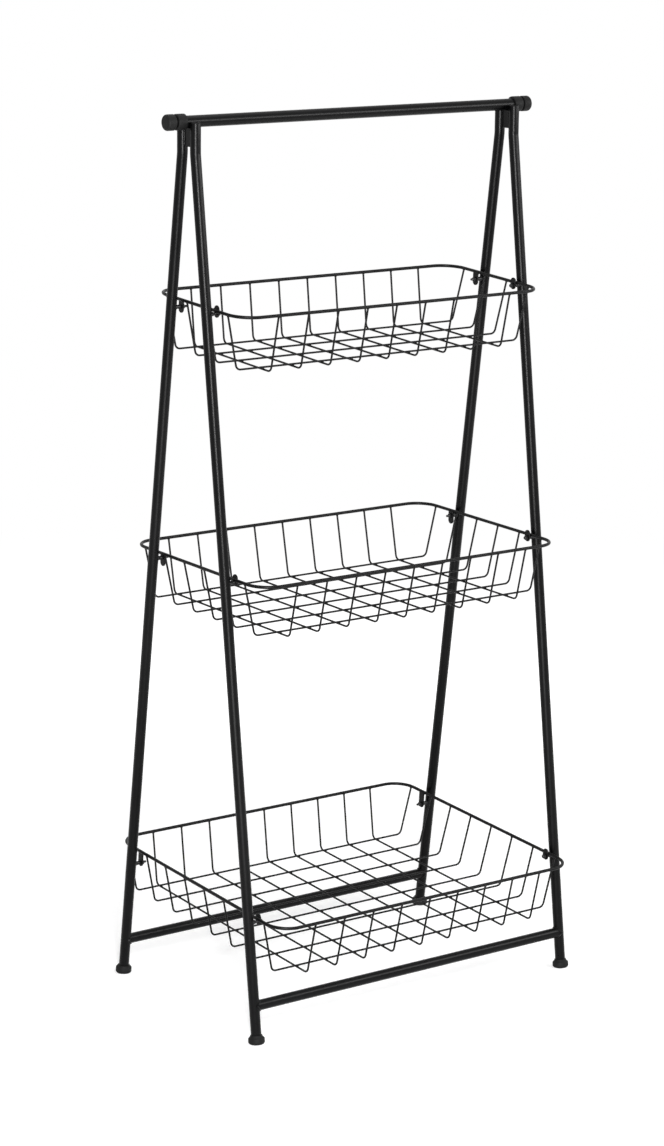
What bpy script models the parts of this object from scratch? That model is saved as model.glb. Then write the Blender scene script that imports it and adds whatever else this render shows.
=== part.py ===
"""Wire basket shelf: an A-frame of round steel tube that carries three wire baskets.

Units are metres and +Z is up. The origin is on the floor, under the middle of the shelf.
The shelf's width lies along X, and its front faces -Y.
"""
import bpy
import bmesh
from math import atan, cos, pi, radians, sin, sqrt, tan
from mathutils import Matrix, Vector

# Fits
GAP = 0.0003                 # clearance between two pieces that touch
OVERRUN = 0.004              # how far a cutter runs past what it cuts
WELD_BITE = 0.0004           # how far a lug sinks into the rim that it is welded to
WIRE_GAP = 0.0001            # between the two layers of floor wires, which cross without a weld here
MERGE_DISTANCE = 1e-6        # points closer than this are one point
SHORT_EDGE = 0.00003         # edges shorter than this are closed up after the cuts

# Frame tube
TUBE_D = 0.0127
TUBE_WALL = 0.0012
TUBE_TOP_WALL = 0.0025       # the closed upper end of a leg
LEG_X = 0.2350               # a leg's centre from the middle of the shelf
FOOT_Y = 0.1483              # where a leg's centre line meets the floor
KNEE_DROP = 0.0360           # the bend's height under the top bar's centre
KNEE_RADIUS = 0.0300
CROSS_BAR_HEIGHT = 0.0450

# Top bar
BAR_D = 0.0140
BAR_WALL = 0.0012
BAR_HEIGHT = 1.0800          # its centre above the floor
COLLAR_D = 0.0190
COLLAR_LENGTH = 0.0125
COLLAR_CHAMFER = 0.0010
CAP_D = 0.0190
CAP_LENGTH = 0.0115
CAP_ROUND = 0.0030
CAP_PLUG_LENGTH = 0.0120
CAP_NOTCH = 0.0024           # width of the groove between collar and cap
GUSSET_THICKNESS = 0.0040
GUSSET_HEIGHT = 0.0215

# Feet
FOOT_D = 0.0200
FOOT_NECK_D = 0.0160
FOOT_HEIGHT = 0.0105
FOOT_SOLE = 0.0040           # rubber under the tube's end
FOOT_SOLE_D = 0.0172
FOOT_SHOULDER = 0.0025       # height over which the neck flares out
FOOT_BAND = 0.0035           # height of the widest band
FOOT_EDGE = 0.0012           # edge rounding of the neck

# Baskets
RIM_D = 0.0040
WIRE_D = 0.0024
PITCH = 0.0428               # wire spacing, both ways
RIM_GAP = 0.0032             # space between the rim and a leg
RIM_CORNER_RADIUS = 0.0280
END_FLARE = 0.0150           # how far an end wall leans out from floor to rim
WALL_BEND_RADIUS = 0.0070
SIDE_SPACE = 0.0200          # least space between a floor's side and the nearest wire beside it
FRONT_SPACE = 0.0060         # and between its front or rear and the nearest wire along it

# Tiers: the rim's height at the middle as a share of the top bar's, half depth at the rim
# and at the floor, the lowest wires' depth under the rim, how far the basket and the wires
# that run from side to side stand to the rear of the shelf's middle, the fall of the rim
# towards the front over a run of FALL_RUN, and the least drop of a rear stud's axis below
# the rim.
FALL_RUN = 0.1000
TIERS = {
    "top": {
        "height_share": 0.8024, "rim_y": 0.0923, "floor_y": 0.0803, "depth": 0.0688,
        "basket_shift": 0.0, "wire_shift": 0.0, "fall": 0.0055, "rear_drop": 0.0090,
    },
    "middle": {
        "height_share": 0.5124, "rim_y": 0.1382, "floor_y": 0.1230, "depth": 0.0675,
        "basket_shift": 0.0034, "wire_shift": 0.0058, "fall": 0.0014, "rear_drop": 0.0058,
    },
    "bottom": {
        "height_share": 0.1447, "rim_y": 0.1780, "floor_y": 0.1652, "depth": 0.0675,
        "basket_shift": 0.0, "wire_shift": 0.0050, "fall": 0.0056, "rear_drop": 0.0161,
    },
}

# Lugs and fasteners
LUG_THICKNESS = 0.0020
LUG_WIDTH = 0.0095
LUG_RISE = 0.0060            # how far a front lug stands above the rim's centre
LUG_LENGTH = 0.0165          # from the rim's centre down to a rear lug's lower end
LUG_CLEARANCE = 0.0020       # least space between a lug and an upright wire beside it
STUD_D = 0.0030
STUD_ROOT = 0.0020           # how far a stud's root stands inside the leg's bore
STUD_CHAMFER = 0.0005
STUD_SHOW = 0.0040           # how far a rear stud's end stands past its nut
SHOULDER_D = 0.0050          # the stud's thick part beside the leg
NUT_FLATS = 0.0055
NUT_HEIGHT = 0.0024
CAP_NUT_BASE = 0.0020
CAP_NUT_HEIGHT = 0.0045
CAP_NUT_DOME_D = 0.0048

# Facets
SHARP_ANGLE = radians(35)    # edges that bend more than this stay sharp
TUBE_SIDES = 16              # a tube and its bore
HOLE_SIDES = 10
RIM_SIDES = 10
WIRE_SIDES = 8
TURNED_STEPS = 16
FASTENER_STEPS = 10
KNEE_SEGMENTS = 2
CORNER_SEGMENTS = 5
WALL_BEND_SEGMENTS = 2
DOME_SEGMENTS = 3

SIDES = {"left": -1, "right": 1}
ENDS = {"front": -1, "rear": 1}

# Places that follow from the sizes
LEG_TOP_Y = (BAR_D + TUBE_D) / 2 + GAP
KNEE_Z = BAR_HEIGHT - KNEE_DROP
LEG_SLOPE = (FOOT_Y - LEG_TOP_Y) / KNEE_Z
LEG_ANGLE = atan(LEG_SLOPE)
LEG_INNER_X = LEG_X - TUBE_D / 2
RIM_X = LEG_INNER_X - RIM_GAP - RIM_D / 2
LUG_X = RIM_X - RIM_D / 2 - LUG_THICKNESS / 2 + WELD_BITE
FLOOR_X = RIM_X - END_FLARE
STUD_HOLE_D = STUD_D + 2 * GAP
NUT_SEAT = LEG_X - LUG_X + LUG_THICKNESS / 2 + GAP    # from a leg's centre line to a nut's outer face


def leg_y(z):
    """Distance of a leg's centre line from the middle plane, below the bend."""
    return FOOT_Y - LEG_SLOPE * z


def rim_height(tier):
    return tier["height_share"] * BAR_HEIGHT


def clear_scene():
    for obj in list(bpy.data.objects):
        bpy.data.objects.remove(obj, do_unlink=True)


def make_collection(name):
    collection = bpy.data.collections.new(name)
    bpy.context.scene.collection.children.link(collection)
    return collection


def make_material(name, colour, roughness, metallic):
    material = bpy.data.materials.new(name)
    material.use_nodes = True
    shader = material.node_tree.nodes["Principled BSDF"]
    shader.inputs["Base Color"].default_value = (*colour, 1.0)
    shader.inputs["Roughness"].default_value = roughness
    shader.inputs["Metallic"].default_value = metallic
    return material


clear_scene()
SHELF = make_collection("wire_basket_shelf")
CUTTERS = make_collection("cutters")
FRAME_PAINT = make_material("frame_paint", (0.018, 0.018, 0.019), 0.34, 0.0)
BASKET_PAINT = make_material("basket_paint", (0.020, 0.020, 0.021), 0.40, 0.0)
HARDWARE = make_material("hardware", (0.025, 0.025, 0.027), 0.30, 0.6)
RUBBER = make_material("rubber", (0.022, 0.022, 0.022), 0.62, 0.0)


# Building blocks

def finish_mesh(mesh):
    """Join loose caps, point the faces out and shade round surfaces smooth."""
    bm = bmesh.new()
    bm.from_mesh(mesh)
    bmesh.ops.remove_doubles(bm, verts=bm.verts, dist=MERGE_DISTANCE)
    bmesh.ops.recalc_face_normals(bm, faces=bm.faces)
    bm.to_mesh(mesh)
    bm.free()
    mesh.shade_smooth()
    mesh.set_sharp_from_angle(angle=SHARP_ANGLE)


def add_object(name, mesh, collection, material=None, matrix=None):
    obj = bpy.data.objects.new(name, mesh)
    collection.objects.link(obj)
    if material is not None and not mesh.materials:
        mesh.materials.append(material)
    if matrix is not None:
        obj.matrix_world = matrix
    if collection is not SHELF:
        obj.display_type = "WIRE"
        obj.hide_render = True
    return obj


def tube(name, points, diameter, sides, collection, material=None, closed=False):
    """A round rod along a line of points, as a closed mesh."""
    curve = bpy.data.curves.new(name, "CURVE")
    curve.dimensions = "3D"
    curve.bevel_depth = diameter / 2
    curve.bevel_resolution = sides // 2 - 2
    curve.use_fill_caps = not closed
    spline = curve.splines.new("POLY")
    spline.points.add(len(points) - 1)
    for spot, point in zip(spline.points, points):
        spot.co = (*point, 1.0)
    spline.use_cyclic_u = closed
    guide = bpy.data.objects.new(name, curve)
    CUTTERS.objects.link(guide)
    bpy.context.view_layer.update()
    evaluated = guide.evaluated_get(bpy.context.evaluated_depsgraph_get())
    mesh = bpy.data.meshes.new_from_object(evaluated)
    matrix = guide.matrix_world.copy()
    bpy.data.objects.remove(guide, do_unlink=True)
    finish_mesh(mesh)
    mesh.name = name
    return add_object(name, mesh, collection, material, matrix)


def turned(name, profile, steps, collection, material=None, matrix=None):
    """A shape turned about its own Z axis. The profile runs down its outer side."""
    mesh = bpy.data.meshes.new(name)
    closed = profile[0][0] > 0
    edges = [(i, i + 1) for i in range(len(profile) - 1)]
    if closed:
        edges.append((len(profile) - 1, 0))
    mesh.from_pydata([(r, 0.0, z) for r, z in profile], edges, [])
    obj = add_object(name, mesh, collection, material, matrix)
    screw = obj.modifiers.new("turn", "SCREW")
    screw.steps = steps
    screw.render_steps = steps
    screw.use_merge_vertices = True
    screw.merge_threshold = GAP / 10
    screw.use_smooth_shade = True
    return obj


def prism(name, sides, flats, height, collection, material=None, matrix=None):
    """A regular prism about its own Z axis, from 0 up to its height."""
    bm = bmesh.new()
    corner = flats / 2 / cos(pi / sides)
    sizes = dict(radius1=corner, radius2=corner, depth=height)
    bmesh.ops.create_cone(bm, cap_ends=True, segments=sides, **sizes)
    bmesh.ops.translate(bm, verts=bm.verts, vec=(0, 0, height / 2))
    mesh = bpy.data.meshes.new(name)
    bm.to_mesh(mesh)
    bm.free()
    return add_object(name, mesh, collection, material, matrix)


def block(name, size, centre, collection, material=None):
    bm = bmesh.new()
    place = Matrix.Translation(centre) @ Matrix.Diagonal((*size, 1.0))
    bmesh.ops.create_cube(bm, size=1.0, matrix=place)
    mesh = bpy.data.meshes.new(name)
    bm.to_mesh(mesh)
    bm.free()
    return add_object(name, mesh, collection, material)


def boolean(obj, other, operation="DIFFERENCE"):
    modifier = obj.modifiers.new(operation.lower(), "BOOLEAN")
    modifier.operation = operation
    modifier.solver = "EXACT"
    if isinstance(other, bpy.types.Collection):
        modifier.operand_type = "COLLECTION"
        modifier.collection = other
    else:
        modifier.object = other
    return modifier


def close_short_edges(obj):
    weld = obj.modifiers.new("short_edges", "WELD")
    weld.merge_threshold = SHORT_EDGE


def baked(obj):
    """The object's mesh with its modifiers applied, for pieces that share it."""
    bpy.context.view_layer.update()
    evaluated = obj.evaluated_get(bpy.context.evaluated_depsgraph_get())
    return bpy.data.meshes.new_from_object(evaluated)


def along_x(side, y, z):
    """Places a shape that points along +Z at a leg, pointing out of the shelf's side."""
    return Matrix.Translation((side * LEG_X, y, z)) @ Matrix.Rotation(side * pi / 2, 4, "Y")


def fillet(before, corner, after, radius, segments):
    """Points of an arc that rounds a corner between two straight runs."""
    before, corner, after = Vector(before), Vector(corner), Vector(after)
    back = (before - corner).normalized()
    ahead = (after - corner).normalized()
    half = back.angle(ahead) / 2
    centre = corner + (back + ahead).normalized() * (radius / sin(half))
    start = corner + back * (radius / tan(half)) - centre
    finish = corner + ahead * (radius / tan(half)) - centre
    turn = start.angle(finish)
    points = []
    for i in range(segments + 1):
        share = i / segments
        points.append(centre + (start * sin((1 - share) * turn) + finish * sin(share * turn)) / sin(turn))
    return points


# Frame

def leg_line(side, end, start, stop):
    """Centre line of a leg, from a run above the floor point to a height near the top."""
    x = side * LEG_X
    floor = Vector((x, end * FOOT_Y, 0))
    knee = Vector((x, end * LEG_TOP_Y, KNEE_Z))
    top = Vector((x, end * LEG_TOP_Y, stop))
    first = floor + (knee - floor).normalized() * start
    return [first, *fillet(first, knee, top, KNEE_RADIUS, KNEE_SEGMENTS), top]


def stud_spots(tier):
    """Distance and height of each stud of a tier, front and rear, on its leg's centre line."""
    fall = tier["fall"] / FALL_RUN
    beside_rim = (RIM_D + SHOULDER_D) / 2 + GAP
    under_rim = (RIM_D + STUD_D) / 2 + GAP
    drops = {"front": under_rim, "rear": max(tier["rear_drop"], beside_rim)}
    spots = {}
    for end_name, end in ENDS.items():
        level = rim_height(tier) - drops[end_name] - fall * tier["basket_shift"]
        z = (level + end * fall * FOOT_Y) / (1 + end * fall * LEG_SLOPE)
        spots[end_name] = (end * leg_y(z), z)
    return spots


def hole_cutter(name, side, end, y, z):
    """A pin that cuts a stud's hole in a leg's inner wall. Two of its flats cross the leg's line."""
    reach = TUBE_D / 2 + OVERRUN
    turn = Matrix.Rotation(side * end * LEG_ANGLE, 4, "Z")
    place = along_x(side, y, z) @ turn @ Matrix.Translation((0, 0, -reach))
    return prism(name, HOLE_SIDES, STUD_HOLE_D, reach, CUTTERS, None, place)


def make_leg(side_name, end_name):
    side, end = SIDES[side_name], ENDS[end_name]
    name = f"leg_{end_name}_{side_name}"
    start = FOOT_SOLE + GAP
    leg = tube(name, leg_line(side, end, start, BAR_HEIGHT), TUBE_D, TUBE_SIDES, SHELF, FRAME_PAINT)
    bore_line = leg_line(side, end, start - OVERRUN, BAR_HEIGHT - TUBE_TOP_WALL)
    bore = tube(f"{name}_bore", bore_line, TUBE_D - 2 * TUBE_WALL, TUBE_SIDES, CUTTERS)
    boolean(leg, bore)
    for tier_name, tier in TIERS.items():
        y, z = stud_spots(tier)[end_name]
        boolean(leg, hole_cutter(f"{name}_hole_{tier_name}", side, end, y, z))
    close_short_edges(leg)


def make_foot(side_name, end_name, floor_cutter):
    side, end = SIDES[side_name], ENDS[end_name]
    bore = TUBE_D / 2 + GAP
    band_top = FOOT_HEIGHT - FOOT_EDGE - FOOT_SHOULDER
    band_bottom = band_top - FOOT_BAND
    profile = [
        (0, FOOT_SOLE),
        (bore, FOOT_SOLE),
        (bore, FOOT_HEIGHT),
        (FOOT_NECK_D / 2 - FOOT_EDGE / 2, FOOT_HEIGHT),
        (FOOT_NECK_D / 2, FOOT_HEIGHT - FOOT_EDGE),
        (FOOT_D / 2 - FOOT_EDGE / 2, band_top + FOOT_EDGE),
        (FOOT_D / 2, band_top),
        (FOOT_D / 2, band_bottom),
        (FOOT_SOLE_D / 2 + FOOT_EDGE / 2, FOOT_EDGE),
        (FOOT_SOLE_D / 2, 0),
        (FOOT_SOLE_D / 2, -OVERRUN),
        (0, -OVERRUN),
    ]
    place = Matrix.Translation((side * LEG_X, end * FOOT_Y, 0)) @ Matrix.Rotation(end * LEG_ANGLE, 4, "X")
    foot = turned(f"foot_{end_name}_{side_name}", profile, TURNED_STEPS, SHELF, RUBBER, place)
    boolean(foot, floor_cutter)
    close_short_edges(foot)


def make_cross_bar(end_name):
    """A tube between two legs, with its ends cut to their round sides."""
    end = ENDS[end_name]
    y, z = end * leg_y(CROSS_BAR_HEIGHT), CROSS_BAR_HEIGHT
    name = f"cross_bar_{end_name}"
    bar = tube(name, [(-LEG_X, y, z), (LEG_X, y, z)], TUBE_D, TUBE_SIDES, SHELF, FRAME_PAINT)
    reach = LEG_X + OVERRUN
    inner_d = TUBE_D - 2 * TUBE_WALL
    boolean(bar, tube(f"{name}_bore", [(-reach, y, z), (reach, y, z)], inner_d, TUBE_SIDES, CUTTERS))
    for side_name, side in SIDES.items():
        upward = Vector((0, -end * sin(LEG_ANGLE), cos(LEG_ANGLE)))
        centre = Vector((side * LEG_X, y, z))
        ends = [centre - upward * TUBE_D, centre + upward * TUBE_D]
        boolean(bar, tube(f"{name}_saddle_{side_name}", ends, TUBE_D + 2 * GAP, TUBE_SIDES, CUTTERS))
    close_short_edges(bar)


def make_top_bar():
    """The bar lies between the upper ends of the legs, and ends in a collar and a cap on each side."""
    collar_start = LEG_X + TUBE_D / 2 + GAP
    collar_end = collar_start + COLLAR_LENGTH
    reach = collar_end + CAP_NOTCH - GAP
    line = [(-reach, 0, BAR_HEIGHT), (reach, 0, BAR_HEIGHT)]
    bar = tube("top_bar", line, BAR_D, TUBE_SIDES, SHELF, FRAME_PAINT)
    cut = reach + OVERRUN
    bore_line = [(-cut, 0, BAR_HEIGHT), (cut, 0, BAR_HEIGHT)]
    boolean(bar, tube("top_bar_bore", bore_line, BAR_D - 2 * BAR_WALL, TUBE_SIDES, CUTTERS))
    inner, outer = BAR_D / 2 + GAP, COLLAR_D / 2
    collar = [
        (inner, COLLAR_LENGTH),
        (outer - COLLAR_CHAMFER, COLLAR_LENGTH),
        (outer, COLLAR_LENGTH - COLLAR_CHAMFER),
        (outer, COLLAR_CHAMFER),
        (outer - COLLAR_CHAMFER, 0),
        (inner, 0),
    ]
    plug = BAR_D / 2 - BAR_WALL - GAP
    cap = [(0, CAP_LENGTH)]
    for i in range(DOME_SEGMENTS + 1):
        angle = pi / 2 * (1 - i / DOME_SEGMENTS)
        radius = CAP_D / 2 - CAP_ROUND + CAP_ROUND * cos(angle)
        cap.append((radius, CAP_LENGTH - CAP_ROUND + CAP_ROUND * sin(angle)))
    cap += [
        (CAP_D / 2, COLLAR_CHAMFER),
        (CAP_D / 2 - COLLAR_CHAMFER, 0),
        (plug, 0),
        (plug, -CAP_PLUG_LENGTH),
        (0, -CAP_PLUG_LENGTH),
    ]
    for side_name, side in SIDES.items():
        turn = Matrix.Rotation(side * pi / 2, 4, "Y")
        at_collar = Matrix.Translation((side * collar_start, 0, BAR_HEIGHT)) @ turn
        at_cap = Matrix.Translation((side * (collar_end + CAP_NOTCH), 0, BAR_HEIGHT)) @ turn
        turned(f"bar_collar_{side_name}", collar, TURNED_STEPS, SHELF, RUBBER, at_collar)
        turned(f"bar_end_cap_{side_name}", cap, TURNED_STEPS, SHELF, RUBBER, at_cap)


def make_gusset(side_name):
    """A plate that fills the space between two legs, under the top bar."""
    width = 2 * (LEG_TOP_Y - TUBE_D / 2 - GAP)
    top = BAR_HEIGHT - BAR_D / 2 - GAP
    centre = (SIDES[side_name] * LEG_X, 0, top - GUSSET_HEIGHT / 2)
    block(f"gusset_{side_name}", (GUSSET_THICKNESS, width, GUSSET_HEIGHT), centre, SHELF, FRAME_PAINT)


# Baskets

def rim_points(half_x, half_y):
    """The rim's rounded rectangle, corner by corner."""
    corners = [(half_x, half_y), (-half_x, half_y), (-half_x, -half_y), (half_x, -half_y)]
    points = []
    for i, (x, y) in enumerate(corners):
        before, after = corners[i - 1], corners[(i + 1) % len(corners)]
        points += fillet((*before, 0), (x, y, 0), (*after, 0), RIM_CORNER_RADIUS, CORNER_SEGMENTS)
    return points


def rim_reach(offset, half_along, half_across):
    """How far the rim's centre line lies from the middle at an offset across it."""
    into_corner = abs(offset) - (half_across - RIM_CORNER_RADIUS)
    if into_corner <= 0:
        return half_along
    return half_along - RIM_CORNER_RADIUS + sqrt(RIM_CORNER_RADIUS ** 2 - into_corner ** 2)


def wire_points(top, bottom, depth, place):
    """A wire bent like a shallow U: down one wall, over the floor and up the other wall."""
    outline = [(-top, 0), (-bottom, -depth), (bottom, -depth), (top, 0)]
    corners = [Vector((a, 0, z)) for a, z in outline]
    points = [corners[0]]
    for i in (1, 2):
        points += fillet(corners[i - 1], corners[i], corners[i + 1], WALL_BEND_RADIUS, WALL_BEND_SEGMENTS)
    points.append(corners[3])
    return [place(p.x, p.z) for p in points]


def spread(half_floor, space):
    """Offsets about the middle, one pitch apart, as many as the floor has room for."""
    gaps = int(2 * (half_floor - space) / PITCH)
    return [(i - gaps / 2) * PITCH for i in range(gaps + 1)]


def clear_of_lugs(offset, lugs):
    """A wire that would meet a lug runs past the lug's nearer side instead."""
    reach = (LUG_WIDTH + WIRE_D) / 2 + LUG_CLEARANCE
    for lug in lugs:
        if abs(offset - lug) < reach:
            offset = lug + (reach if offset > lug else -reach)
    return offset


def make_lug(name, side, end_name, y, z, collection):
    """A plate on the rim's inner side, with round ends and the stud's hole.

    A front lug stands above the rim too. A rear one hangs down from the rim's centre.
    """
    curve = bpy.data.curves.new(name, "CURVE")
    curve.dimensions = "2D"
    curve.fill_mode = "BOTH"
    curve.extrude = LUG_THICKNESS / 2
    radius = LUG_WIDTH / 2
    if end_name == "front":
        low = z
        turns = [pi * i / CORNER_SEGMENTS for i in range(CORNER_SEGMENTS + 1)]
        outline = [(radius * cos(angle), LUG_RISE - radius + radius * sin(angle)) for angle in turns]
    else:
        low = min(z, radius - LUG_LENGTH)
        outline = [(radius, 0), (-radius, 0)]
    for i in range(CORNER_SEGMENTS + 1):
        angle = pi + pi * i / CORNER_SEGMENTS
        outline.append((radius * cos(angle), low + radius * sin(angle)))
    hole = []
    for i in range(FASTENER_STEPS):
        angle = 2 * pi * i / FASTENER_STEPS
        hole.append((STUD_HOLE_D / 2 * cos(angle), z + STUD_HOLE_D / 2 * sin(angle)))
    for ring in (outline, hole):
        spline = curve.splines.new("POLY")
        spline.points.add(len(ring) - 1)
        for spot, (a, b) in zip(spline.points, ring):
            spot.co = (a, b, 0, 1)
        spline.use_cyclic_u = True
    guide = bpy.data.objects.new(name, curve)
    CUTTERS.objects.link(guide)
    stand = Matrix(((0, 0, 1, side * LUG_X), (1, 0, 0, y), (0, 1, 0, 0), (0, 0, 0, 1)))
    bpy.context.view_layer.update()
    mesh = bpy.data.meshes.new_from_object(guide.evaluated_get(bpy.context.evaluated_depsgraph_get()))
    bpy.data.objects.remove(guide, do_unlink=True)
    mesh.transform(stand)
    finish_mesh(mesh)
    return add_object(name, mesh, collection)


def make_basket(tier_name, tier):
    """Rim, bent wires and lugs, welded into one piece and leaning a little to the front."""
    lean = atan(tier["fall"] / FALL_RUN)
    middle = Matrix.Translation((0, tier["basket_shift"], rim_height(tier)))
    place = middle @ Matrix.Rotation(lean, 4, "X")
    to_basket = place.inverted()
    lugs = {end: to_basket @ Vector((0, *spot)) for end, spot in stud_spots(tier).items()}
    name = f"basket_{tier_name}"
    welded = make_collection(f"{name}_welded")
    rim = rim_points(RIM_X, tier["rim_y"])
    basket = tube(name, rim, RIM_D, RIM_SIDES, SHELF, BASKET_PAINT, closed=True)
    for number, x in enumerate(spread(FLOOR_X, SIDE_SPACE)):
        top = rim_reach(x, tier["rim_y"], RIM_X)
        points = wire_points(top, tier["floor_y"], tier["depth"], lambda a, z, x=x: (x, a, z))
        tube(f"{name}_cross_wire_{number}", points, WIRE_D, WIRE_SIDES, welded)
    above_cross = tier["depth"] - WIRE_D - WIRE_GAP
    shift = tier["wire_shift"] - tier["basket_shift"]
    for number, offset in enumerate(spread(tier["floor_y"], FRONT_SPACE)):
        y = clear_of_lugs(offset + shift, [spot.y for spot in lugs.values()])
        top = rim_reach(y, RIM_X, tier["rim_y"])
        points = wire_points(top, FLOOR_X, above_cross, lambda a, z, y=y: (a, y, z))
        tube(f"{name}_long_wire_{number}", points, WIRE_D, WIRE_SIDES, welded)
    for end_name, spot in lugs.items():
        for side_name, side in SIDES.items():
            lug_name = f"{name}_lug_{end_name}_{side_name}"
            make_lug(lug_name, side, end_name, spot.y, spot.z, welded)
    boolean(basket, welded, "UNION")
    close_short_edges(basket)
    mesh = baked(basket)
    finish_mesh(mesh)
    basket.modifiers.clear()
    basket.data = mesh
    basket.matrix_world = place
    for piece in list(welded.objects):
        bpy.data.objects.remove(piece, do_unlink=True)
    bpy.data.collections.remove(welded)


# Fasteners

def stud_mesh(name, shoulder_end, tip):
    """A stud held in the leg's inner wall, thick beside the leg and thin through the lug and the nut."""
    root = TUBE_D / 2 - TUBE_WALL - STUD_ROOT
    shoulder_start = TUBE_D / 2 + GAP
    profile = [
        (0, -root),
        (STUD_D / 2, -root),
        (STUD_D / 2, -shoulder_start),
        (SHOULDER_D / 2, -shoulder_start),
        (SHOULDER_D / 2, -shoulder_end),
        (STUD_D / 2, -shoulder_end),
        (STUD_D / 2, STUD_CHAMFER - tip),
        (STUD_D / 2 - STUD_CHAMFER, -tip),
        (0, -tip),
    ]
    stud = turned(name, profile, FASTENER_STEPS, CUTTERS, HARDWARE)
    mesh = baked(stud)
    mesh.name = name
    bpy.data.objects.remove(stud, do_unlink=True)
    return mesh


def nut_mesh(name, domed):
    """A hexagon nut that sits against the lug, open or closed by a dome."""
    seat = -NUT_SEAT
    base = CAP_NUT_BASE if domed else NUT_HEIGHT
    nut = prism(name, 6, NUT_FLATS, base, CUTTERS, HARDWARE, Matrix.Translation((0, 0, seat - base)))
    helpers = [nut]
    depth = base + OVERRUN
    if domed:
        radius = CAP_NUT_DOME_D / 2
        dome_top = seat - CAP_NUT_HEIGHT
        shoulder = dome_top + radius
        profile = [(0, seat - GAP), (radius, seat - GAP), (radius, shoulder)]
        for i in range(1, DOME_SEGMENTS + 1):
            angle = pi / 2 * i / DOME_SEGMENTS
            profile.append((radius * cos(angle), shoulder - radius * sin(angle)))
        profile[-1] = (0, dome_top)
        dome = turned(f"{name}_dome", profile, FASTENER_STEPS, CUTTERS)
        boolean(nut, dome, "UNION")
        helpers.append(dome)
        depth = cap_nut_bore() + GAP
    place = Matrix.Translation((0, 0, seat - depth))
    bore = prism(f"{name}_bore", FASTENER_STEPS, STUD_HOLE_D, depth + OVERRUN, CUTTERS, None, place)
    helpers.append(bore)
    boolean(nut, bore)
    mesh = baked(nut)
    mesh.transform(nut.matrix_world)
    mesh.name = name
    for helper in helpers:
        bpy.data.objects.remove(helper, do_unlink=True)
    return mesh


def cap_nut_bore():
    """How deep a stud's end goes into a domed nut."""
    return CAP_NUT_HEIGHT - CAP_NUT_DOME_D / 2 + GAP


def make_fasteners():
    """A front stud's thick part ends at the rim, which lies on the stud. A rear one's ends at the lug."""
    at_rim = LEG_X - RIM_X - RIM_D / 2 - GAP
    at_lug = LEG_X - LUG_X - LUG_THICKNESS / 2 - GAP
    rear_tip = NUT_SEAT + NUT_HEIGHT + STUD_SHOW
    front_tip = NUT_SEAT + cap_nut_bore()
    kinds = {
        "rear": (stud_mesh("stud_rear", at_lug, rear_tip), nut_mesh("nut_open", False)),
        "front": (stud_mesh("stud_front", at_rim, front_tip), nut_mesh("nut_domed", True)),
    }
    for tier_name, tier in TIERS.items():
        for end_name, (y, z) in stud_spots(tier).items():
            stud, nut = kinds[end_name]
            for side_name, side in SIDES.items():
                tail = f"{tier_name}_{end_name}_{side_name}"
                place = along_x(side, y, z)
                add_object(f"basket_stud_{tail}", stud, SHELF, HARDWARE, place)
                add_object(f"basket_nut_{tail}", nut, SHELF, HARDWARE, place)


def make_shelf():
    footprint = 2 * (LEG_X + FOOT_D), 2 * (FOOT_Y + FOOT_D), FOOT_D
    floor_cutter = block("floor_cutter", footprint, (0, 0, -FOOT_D / 2), CUTTERS)
    for side_name in SIDES:
        for end_name in ENDS:
            make_leg(side_name, end_name)
            make_foot(side_name, end_name, floor_cutter)
        make_gusset(side_name)
    for end_name in ENDS:
        make_cross_bar(end_name)
    make_top_bar()
    for tier_name, tier in TIERS.items():
        make_basket(tier_name, tier)
    make_fasteners()


make_shelf()
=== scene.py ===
"""Looks of a wire basket shelf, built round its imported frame.

Units are metres and +Z is up. The shelf's width lies along X, and its front faces -Y.
"""
from math import atan, cos, pi, radians, sin, sqrt, tan

import bmesh
import bpy
from mathutils import Matrix, Vector, noise


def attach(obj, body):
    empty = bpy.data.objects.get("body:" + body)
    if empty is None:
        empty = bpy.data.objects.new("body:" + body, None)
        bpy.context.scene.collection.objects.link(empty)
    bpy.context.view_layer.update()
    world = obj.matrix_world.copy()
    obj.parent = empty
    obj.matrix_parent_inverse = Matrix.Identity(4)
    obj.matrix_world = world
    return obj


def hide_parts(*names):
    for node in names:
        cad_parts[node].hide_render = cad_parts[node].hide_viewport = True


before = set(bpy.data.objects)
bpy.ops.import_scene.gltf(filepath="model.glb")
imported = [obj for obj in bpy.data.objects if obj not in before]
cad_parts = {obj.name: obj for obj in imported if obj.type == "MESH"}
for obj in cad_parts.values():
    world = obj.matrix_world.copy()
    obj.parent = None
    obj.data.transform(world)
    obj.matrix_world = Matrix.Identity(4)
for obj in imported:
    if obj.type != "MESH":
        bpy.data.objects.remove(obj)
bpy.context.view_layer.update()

SIDES = {"left": -1, "right": 1}
ENDS = {"front": -1, "rear": 1}

# Sizes of the solids that the pieces here stand for
GAP = 0.0003                 # between faces that meet or are welded together
TUBE_D = 0.0127
LEG_X = 0.2350
FOOT_Y = 0.1483
KNEE_DROP = 0.0360           # from the top bar's axis down to a leg's bend
KNEE_RADIUS = 0.0300
CROSS_BAR_HEIGHT = 0.0450
BAR_D = 0.0140
BAR_HEIGHT = 1.0800
COLLAR_D = 0.0190
COLLAR_LENGTH = 0.0125
CAP_D = 0.0190
CAP_LENGTH = 0.0115
CAP_NOTCH = 0.0024           # groove between a collar and its cap
GUSSET_THICKNESS = 0.0040
GUSSET_HEIGHT = 0.0215
FOOT_D = 0.0200
FOOT_NECK_D = 0.0160
FOOT_HEIGHT = 0.0105
FOOT_SOLE = 0.0040           # rubber below the leg's end
FOOT_SOLE_D = 0.0172
RIM_D = 0.0040
WIRE_D = 0.0024
WIRE_GAP = 0.0001            # between the two layers of floor wires
WELD_BITE = 0.0004           # how far a lug's plate reaches into the rim
PITCH = 0.0428               # from wire to wire, both ways
RIM_GAP = 0.0032             # between a leg and the rim
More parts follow.
